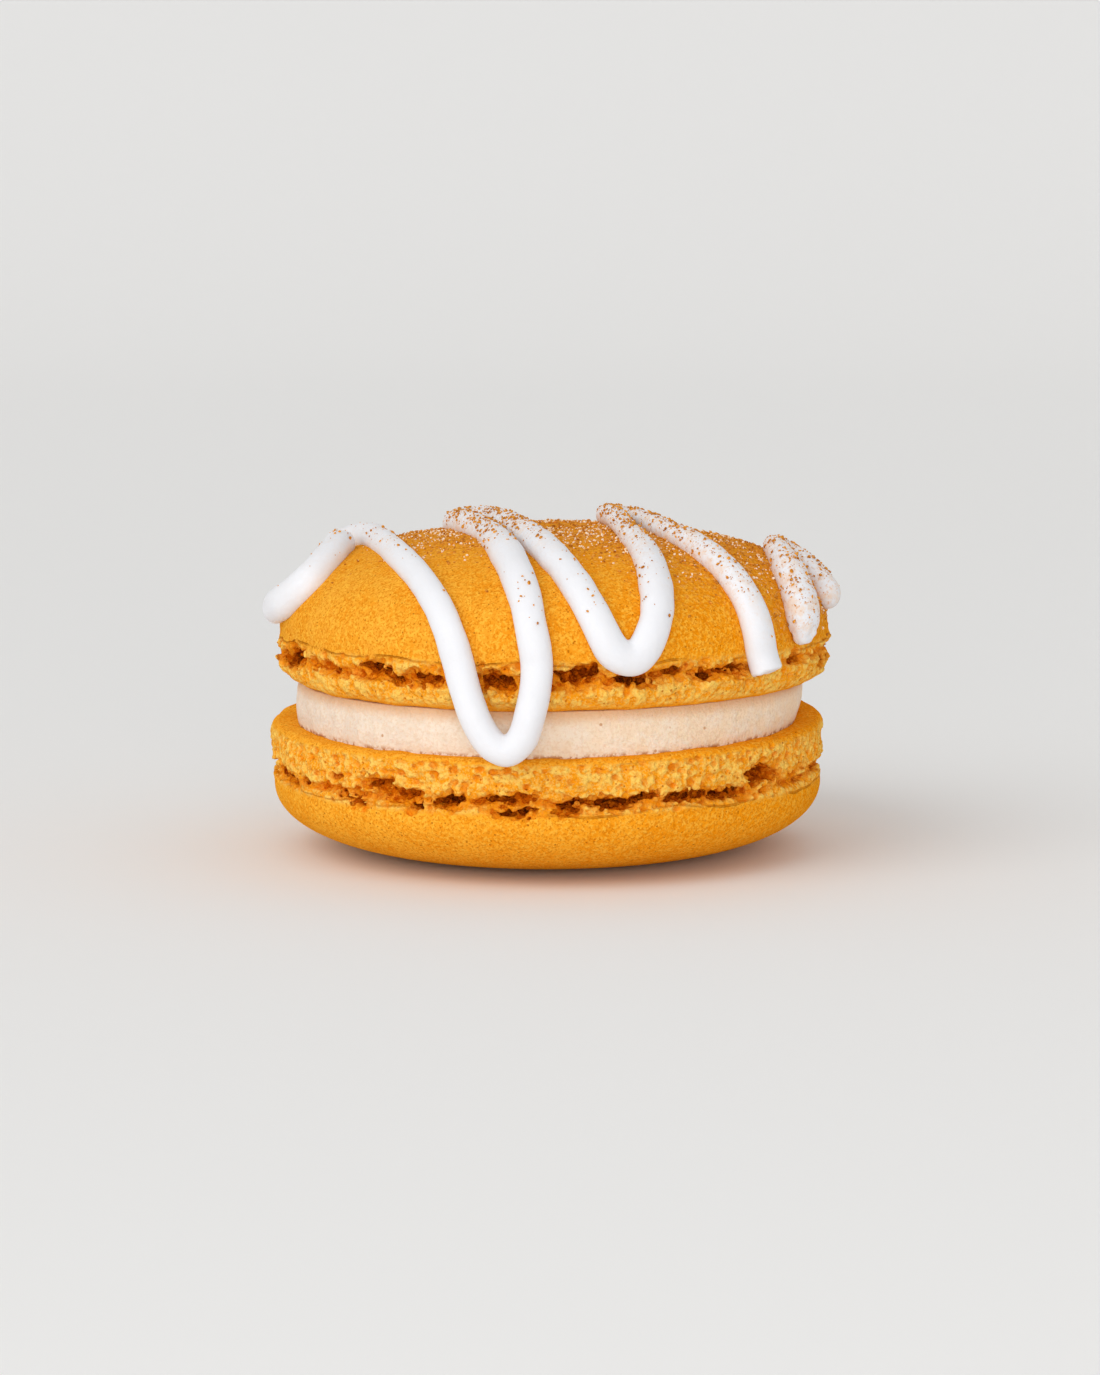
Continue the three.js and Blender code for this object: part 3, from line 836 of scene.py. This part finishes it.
def icosahedron():
    """Corners and faces of a twenty-sided ball of radius 1."""
    golden = (1 + 5**0.5) / 2
    ring = [(0, s, t * golden) for s in (-1, 1) for t in (-1, 1)]
    corners = unit(np.array([np.roll(p, k) for k in range(3) for p in ring]))
    gaps = np.linalg.norm(corners[:, None] - corners[None], axis=2)
    close = gaps < 1.05 * gaps[gaps > 0].min()
    faces = []
    for i in range(12):
        for j in range(i + 1, 12):
            for k in range(j + 1, 12):
                if close[i, j] and close[j, k] and close[i, k]:
                    out = np.cross(corners[j] - corners[i], corners[k] - corners[i]) @ corners[i]
                    faces.append((i, j, k) if out > 0 else (i, k, j))
    return corners, np.array(faces)


def grains(name, places, normals, sizes, flatness, rng):
    """Small broken grains that lie on a surface, in one mesh."""
    corners, faces = icosahedron()
    n = len(places)
    shapes = corners[None] * rng.uniform(0.65, 1.2, (n, len(corners), 1))
    stretch = np.stack([np.ones(n), rng.uniform(0.45, 0.9, n), np.full(n, flatness)], axis=1)
    shapes = shapes * stretch[:, None] * sizes[:, None, None] / 2
    spin = rng.uniform(0, 2 * math.pi, n)[:, None]
    tilt = unit(normals + 0.35 * rng.normal(size=(n, 3)))
    x = unit(np.cross(tilt, rng.normal(size=(n, 3))))
    y = np.cross(tilt, x)
    first = x * np.cos(spin) + y * np.sin(spin)
    second = np.cross(tilt, first)
    axes = (first, second, tilt)
    turned = sum(shapes[..., k : k + 1] * axis[:, None] for k, axis in enumerate(axes))
    lifted = places + normals * (sizes * flatness * 0.25)[:, None]
    points = (turned + lifted[:, None]).reshape(-1, 3)
    every = (faces[None] + np.arange(n)[:, None, None] * len(corners)).reshape(-1, 3)
    piece = new_mesh(name, points / 1000, every)
    piece.data.shade_flat()
    return piece


def clumps(places):
    """How the dust gathers in patches, from 0 to 1."""
    return ease(0.55 + 0.7 * noise(places, 2.6, 61))


def on_shell(places):
    """Grains of cinnamon to each square millimetre of the shell."""
    dust = dust_at(places)
    return 0.03 + 5.8 * dust**1.2 * (0.35 + 0.65 * clumps(places))


def on_icing(places):
    """Grains of cinnamon to each square millimetre of the icing."""
    strewn = 0.4 * ease((places[:, 2] - 21.5) / 5) * ease((places[:, 0] + 8) / 14)
    dust = np.maximum(dust_at(places), strewn)
    return 0.06 + 6.8 * dust**1.3 * (0.2 + 0.8 * clumps(places))


def on_crown(places):
    """Grains of sugar to each square millimetre of the shell."""
    return 4.0 * dust_at(places) ** 2 * clumps(places + 9)


def scatter(shell, icing):
    """Cinnamon and sugar, sieved over the top."""
    rng = np.random.default_rng(7)
    pairs = zip(surface_samples(shell, rng, on_shell), surface_samples(icing, rng, on_icing))
    places, normals = (np.vstack(pair) for pair in pairs)
    sizes = LEAST_GRAIN + CINNAMON_SPREAD * rng.random(len(places)) ** 2.8
    cinnamon = grains("cinnamon", places, normals, sizes, 0.55, rng)
    places, normals = surface_samples(shell, rng, on_crown)
    sizes = LEAST_GRAIN + SUGAR_SPREAD * rng.random(len(places)) ** 2
    sugar = grains("sugar", places, normals, sizes, 0.7, rng)
    return cinnamon, sugar


class Paint:
    """One material's nodes. Lengths are in millimetres."""

    def __init__(self, name, **sockets):
        self.material = bpy.data.materials.new(name)
        self.material.use_nodes = True
        self.tree = self.material.node_tree
        self.shader = self.tree.nodes["Principled BSDF"]
        for socket, value in sockets.items():
            self.shader.inputs[socket.replace("_", " ")].default_value = value
        place = self.node("ShaderNodeTexCoord").outputs["Object"]
        self.place = self.node("ShaderNodeVectorMath", {0: place, 3: 1000}, operation="SCALE").outputs[0]
        self.x, self.y, self.z = self.node("ShaderNodeSeparateXYZ", {0: self.place}).outputs

    def set(self, socket, value):
        """Gives a socket a constant or a link."""
        if isinstance(value, bpy.types.NodeSocket):
            self.tree.links.new(value, socket)
        else:
            socket.default_value = (*value, 1) if socket.type == "RGBA" else value

    def node(self, kind, inputs=None, **settings):
        node = self.tree.nodes.new(kind)
        for setting, value in settings.items():
            setattr(node, setting, value)
        for key, value in (inputs or {}).items():
            self.set(node.inputs[key], value)
        return node

    def noise(self, cell, detail, roughness):
        """Cloudy noise from 0 to 1, with features about one cell across."""
        inputs = {"Vector": self.place, "Scale": 1 / cell, "Detail": detail, "Roughness": roughness}
        return self.node("ShaderNodeTexNoise", inputs).outputs["Fac"]

    def value(self, name):
        """What was stored under a name at the mesh's points."""
        return self.node("ShaderNodeAttribute", attribute_name=name).outputs["Fac"]

    def math(self, operation, *values):
        return self.node("ShaderNodeMath", dict(enumerate(values)), operation=operation).outputs[0]

    def times(self, *values):
        total = values[0]
        for value in values[1:]:
            total = self.math("MULTIPLY", total, value)
        return total

    def band(self, value, low, high, out_low=0.0, out_high=1.0):
        """A smooth step from one value to another."""
        inputs = {"Value": value, "From Min": low, "From Max": high}
        inputs.update({"To Min": out_low, "To Max": out_high})
        return self.node("ShaderNodeMapRange", inputs, interpolation_type="SMOOTHSTEP").outputs["Result"]

    def mix(self, share, first, second):
        return self.node("ShaderNodeMix", {0: share, 6: first, 7: second}, data_type="RGBA").outputs[2]

    def blend(self, share, first, second):
        return self.node("ShaderNodeMix", {0: share, 2: first, 3: second}, data_type="FLOAT").outputs[0]

    def pebbles(self, cell):
        """Uneven rounded cells: 0 at the middle of each, rising to its edge."""
        wide = {"Vector": self.place, "Scale": 0.8 / cell}
        stir = self.node("ShaderNodeTexNoise", wide).outputs["Color"]
        inputs = {0: stir, 1: (1.6 * cell,) * 3, 2: self.place}
        stirred = self.node("ShaderNodeVectorMath", inputs, operation="MULTIPLY_ADD").outputs[0]
        cells = {"Vector": stirred, "Scale": 1 / cell}
        return self.node("ShaderNodeTexVoronoi", cells).outputs["Distance"]

    def specks(self, cell, radius, share):
        """Small dots, one in some of the cells: 1 within them and 0 elsewhere."""
        dots = self.node("ShaderNodeTexVoronoi", {"Vector": self.place, "Scale": 1 / cell})
        dot = self.band(dots.outputs["Distance"], 0.6 * radius / cell, 1.2 * radius / cell, 1.0, 0.0)
        pick = self.node("ShaderNodeSeparateColor", {0: dots.outputs["Color"]}).outputs[0]
        return self.times(dot, self.math("LESS_THAN", pick, share))

    def finish(self, colour, height, depth):
        """Joins the colour and a bump of the given depth to the shader."""
        inputs = {"Height": height, "Distance": depth / 1000, "Strength": 1.0}
        self.set(self.shader.inputs["Normal"], self.node("ShaderNodeBump", inputs).outputs["Normal"])
        self.set(self.shader.inputs["Base Color"], colour)
        return self.material


def skin_colour(paint, left, right, grain, mottle, fine):
    """The dome's skin: painted light that leaves it paler on the left and darker on the right, redder
    clouds, a pale grain, and pores painted as dark dots of shade.
    """
    # Painted light from side to side: paler on the lit left, darker on the shaded right
    colour = paint.mix(paint.band(paint.x, -24, 24), left, right)
    clouds = paint.band(paint.noise(3.0, 3, 0.6), 0.4, 0.62, 0.0, 0.5)
    colour = paint.mix(clouds, colour, SKIN_CLOUD)
    colour = paint.mix(paint.band(mottle, 0.44, 0.6, 0.0, 0.35), colour, SKIN_MOTTLE)
    colour = paint.mix(paint.band(grain, 0.49, 0.58, 0.0, 0.8), colour, SKIN_GRAIN)
    colour = paint.mix(paint.band(fine, 0.5, 0.6, 0.0, 0.7), colour, SKIN_SHADE)
    # Pores painted as dark dots of shade
    pores = paint.times(paint.specks(0.55, 0.09, 0.4), 0.85)
    return paint.mix(pores, colour, SKIN_PORE_SHADE)


def sponge_colour(paint, grain, fine, pebble):
    """The foot's sponge: a painted highlight on its lumps and pale flecks painted as fine highlights,
    redder painted shade in the seams between the lumps, and small holes painted as dark dots of shade.
    """
    # Painted highlight on the raised lumps
    colour = paint.mix(paint.band(paint.value("rise"), 0.1, 0.6), SPONGE_LOW, SPONGE_LUMP_HIGHLIGHT)
    # Painted shade in the seams between the lumps
    colour = paint.mix(paint.band(pebble, 0.4, 0.8, 0.0, 0.5), colour, SPONGE_SEAM_SHADE)
    colour = paint.mix(paint.band(grain, 0.55, 0.61, 0.0, 0.5), colour, SPONGE_SHADE)
    # Fine pale flecks painted as highlights
    colour = paint.mix(paint.band(fine, 0.51, 0.58, 0.0, 0.4), colour, SPONGE_FINE_HIGHLIGHT)
    # Holes painted as dark dots of shade
    holes = paint.times(paint.specks(0.65, 0.13, 0.5), 0.8)
    return paint.mix(holes, colour, SPONGE_HOLE_SHADE)


def fold_shade_mask(paint, fold):
    """1 on the thin, broken, wandering line where the skin folds over the sponge, painted dark as the shade
    in its crease.
    """
    wander = paint.band(paint.noise(7.0, 2, 0.5), 0.2, 0.8, -0.45, 0.45)
    level = paint.math("ADD", paint.z, wander)
    away = paint.math("ABSOLUTE", paint.math("SUBTRACT", level, fold))
    line = paint.band(away, 0.03, 0.15, 1.0, 0.0)
    return paint.times(line, paint.band(paint.noise(3.0, 2, 0.5), 0.36, 0.5))


def add_cave_shade(paint, colour):
    """Painted shade in the caves: browner the deeper a place lies below the whole crust."""
    stir = paint.band(paint.noise(0.4, 3, 0.7), 0.3, 0.7, 0.5, 1.5)
    depth = paint.times(paint.value("depth"), stir)
    colour = paint.mix(paint.band(depth, 0.05, 0.45, 0.0, 0.8), colour, CAVE_EDGE_SHADE)
    colour = paint.mix(paint.band(depth, 0.55, 1.2), colour, CAVE_WALL_SHADE)
    return paint.mix(paint.band(depth, 1.4, 2.4), colour, CAVE_DEEP_SHADE)


def add_dust(paint, colour):
    """The finest cinnamon and sugar, too small to be grains of their own."""
    dust = paint.value("dust")
    powder = paint.band(paint.noise(0.35, 3, 0.7), 0.38, 0.6)
    colour = paint.mix(paint.times(dust, powder, 0.85), colour, CINNAMON_POWDER)
    pale = paint.band(paint.noise(0.45, 2, 0.6), 0.56, 0.66)
    return paint.mix(paint.times(dust, pale, 0.35), colour, SUGAR_POWDER)


def shell_paint(name, fold, left, right):
    """Baked almond crust: a fine-grained skin over the dome and a granular sponge on the foot."""
    paint = Paint(name, Roughness=0.95, Specular_IOR_Level=0.0)
    grain = paint.noise(0.34, 3, 0.6)
    mottle = paint.noise(0.8, 3, 0.6)
    fine = paint.noise(0.2, 2, 0.6)
    pebble = paint.pebbles(0.55)
    foot = paint.value("foot")
    skin = skin_colour(paint, left, right, grain, mottle, fine)
    colour = paint.mix(foot, skin, sponge_colour(paint, grain, fine, pebble))
    line = fold_shade_mask(paint, fold)
    # Painted shade along the fold's crease
    colour = paint.mix(paint.times(line, 0.6), colour, FOLD_SHADE_LINE)
    # Pinholes painted as dark dots of shade over the whole crust
    colour = paint.mix(paint.times(paint.specks(0.9, 0.1, 0.5), 0.75), colour, PINHOLE_SHADE)
    colour = add_dust(paint, add_cave_shade(paint, colour))
    low = paint.math("ADD", paint.times(grain, 0.6), paint.times(fine, -0.3))
    low = paint.math("ADD", paint.math("ADD", low, paint.times(mottle, 0.6)), paint.times(line, -0.6))
    high = paint.math("ADD", paint.times(pebble, -0.9), paint.times(grain, 1.0))
    return paint.finish(colour, paint.blend(foot, low, high), CRUST_BUMP)


def icing_paint():
    """Set white icing, smeared and powdered with cinnamon where the dust lies."""
    paint = Paint(
        "icing",
        Roughness=0.5,
        Specular_IOR_Level=0.3,
        Subsurface_Weight=0.3,
        Subsurface_Radius=(0.9, 0.85, 0.8),
        Subsurface_Scale=0.001,
    )
    dust = paint.value("dust")
    smear = paint.band(paint.noise(1.1, 4, 0.65), 0.44, 0.66)
    colour = paint.mix(paint.times(dust, smear, 0.4), ICING_WHITE, ICING_SMEAR)
    powder = paint.band(paint.noise(0.3, 3, 0.65), 0.54, 0.66)
    colour = paint.mix(paint.times(dust, powder, 0.55), colour, ICING_POWDER)
    return paint.finish(colour, paint.noise(0.5, 3, 0.5), 0.05)


def cream_paint():
    """Pale cream with a brushed grain, paler on the left and warmer on the right as painted light, and
    darker with painted shade under the upper shell and at its torn lower seam.
    """
    paint = Paint(
        "filling",
        Roughness=0.6,
        Specular_IOR_Level=0.2,
        Subsurface_Weight=0.2,
        Subsurface_Radius=(1.0, 0.7, 0.45),
        Subsurface_Scale=0.001,
    )
    brushed = paint.noise(0.28, 4, 0.65)
    cloud = paint.noise(1.6, 4, 0.6)
    # Painted light from side to side: paler on the lit left, warmer on the shaded right
    colour = paint.mix(paint.band(paint.x, -20, 20), CREAM_LIT_LEFT, CREAM_SHADED_RIGHT)
    colour = paint.mix(paint.band(cloud, 0.42, 0.6, 0.0, 0.6), colour, CREAM_CLOUD)
    colour = paint.mix(paint.band(brushed, 0.48, 0.6, 0.0, 0.4), colour, CREAM_SHADE)
    # Painted shade under the upper shell
    colour = paint.mix(paint.times(paint.value("lid_shade"), 0.8), colour, CREAM_SHADE_UNDER_LID)
    colour = paint.mix(paint.times(paint.specks(1.5, 0.15, 0.45), 0.7), colour, CREAM_FLECK)
    # Painted shade along the lower seam, in ragged patches
    ragged = paint.times(paint.value("foot"), paint.band(paint.noise(0.6, 3, 0.6), 0.45, 0.58))
    colour = paint.mix(ragged, colour, CREAM_SEAM_SHADE)
    return paint.finish(colour, paint.math("ADD", brushed, paint.times(cloud, 3.0)), 0.12)


def grain_paint(name, dark, light):
    paint = Paint(name, Roughness=0.9, Specular_IOR_Level=0.1)
    colour = paint.mix(paint.band(paint.noise(0.5, 3, 0.8), 0.35, 0.65), dark, light)
    return paint.finish(colour, paint.noise(0.08, 2, 0.5), 0.02)


def dress(piece, slot, material, *nodes):
    """Gives a piece its material and its body, and hides the solids that it stands for."""
    piece.data.materials.clear()
    piece.data.materials.append(material)
    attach(piece, "root")
    if nodes:
        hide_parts(*nodes)


def build_stage():
    """A pale floor that sweeps up into a backdrop."""
    bend, start, width, top = 0.8, 0.8, 4, 4
    turns = np.linspace(0, math.pi / 2, 24)
    arc = [(start + bend * math.sin(a), bend * (1 - math.cos(a))) for a in turns]
    section = [(-3, 0), *arc, (start + bend, top)]
    points = [(x, y, z) for y, z in section for x in (-width, width)]
    faces = [(2 * k, 2 * k + 1, 2 * k + 3, 2 * k + 2) for k in range(len(section) - 1)]
    floor = new_mesh("floor", np.array(points), faces)
    material = bpy.data.materials.new("floor")
    material.use_nodes = True
    shader = material.node_tree.nodes["Principled BSDF"]
    shader.inputs["Base Color"].default_value = (*FLOOR_COLOUR, 1)
    shader.inputs["Roughness"].default_value = 0.9
    shader.inputs["Specular IOR Level"].default_value = 0.1
    floor.data.materials.append(material)


def add_lamp(name, kind, energy, place, aim):
    light = bpy.data.lights.new(name, kind)
    light.energy = energy
    lamp = bpy.data.objects.new(name, light)
    lamp.location = place
    lamp.rotation_euler = Vector(aim).to_track_quat("-Z", "Y").to_euler()
    bpy.context.scene.collection.objects.link(lamp)
    return light


def build_light():
    """Even daylight from all round, a broad window to the left and a low fill from the front."""
    world = bpy.data.worlds.new("studio")
    bpy.context.scene.world = world
    world.use_nodes = True
    background = world.node_tree.nodes["Background"]
    background.inputs["Color"].default_value = (1, 1, 1, 1)
    background.inputs["Strength"].default_value = SKY_STRENGTH
    window = add_lamp("window", "SUN", WINDOW_STRENGTH, (0, 0, 1), (0.62, 0.55, -0.62))
    window.angle = math.radians(WINDOW_SPREAD)
    fill = add_lamp("fill", "AREA", FILL_STRENGTH, (0, -0.5, 0.02), (0, 1, 0))
    fill.size = 0.3


def build_camera():
    """Looks from the front, at a tilt fitted to the outlines and from an assumed distance."""
    camera = bpy.data.cameras.new("camera")
    camera.sensor_width = SENSOR_WIDTH
    camera.lens = SENSOR_WIDTH * FOCAL_LENGTH / PICTURE_HEIGHT
    camera.clip_start = 0.01
    holder = bpy.data.objects.new("camera", camera)
    holder.location = CAMERA_PLACE
    holder.rotation_euler = (math.radians(CAMERA_PITCH), 0, 0)
    bpy.context.scene.collection.objects.link(holder)
    bpy.context.scene.camera = holder


build_camera()
build_stage()
build_light()
bpy.context.scene.view_settings.view_transform = "Standard"

lower = Shell(LOWER_SHELL, LOWER_HEIGHT, True, 0.0).build("lower_crust")
upper = Shell(UPPER_SHELL, UPPER_BASE, False, UPPER_SHIFT).build("upper_crust")
icing = build_icing()
cream = build_filling()
cinnamon, sugar = scatter(upper, icing)
fold = LOWER_HEIGHT - LOWER_SHELL["skirt"]
lower_skin = shell_paint("lower_skin", fold, LOWER_SKIN_LIT_LEFT, LOWER_SKIN_SHADED_RIGHT)
fold = UPPER_BASE + UPPER_SHELL["skirt"]
upper_skin = shell_paint("upper_skin", fold, UPPER_SKIN_LIT_LEFT, UPPER_SKIN_SHADED_RIGHT)
dress(lower, "shell", lower_skin, "lower_shell")
dress(upper, "shell", upper_skin, "upper_shell")
dress(icing, "icing", icing_paint(), "upper_shell")
dress(cream, "filling", cream_paint(), "filling")
dress(cinnamon, "spice", grain_paint("spice", CINNAMON_DARK, CINNAMON_LIGHT))
dress(sugar, "sugar", grain_paint("sugar", SUGAR_DARK, SUGAR_LIGHT))
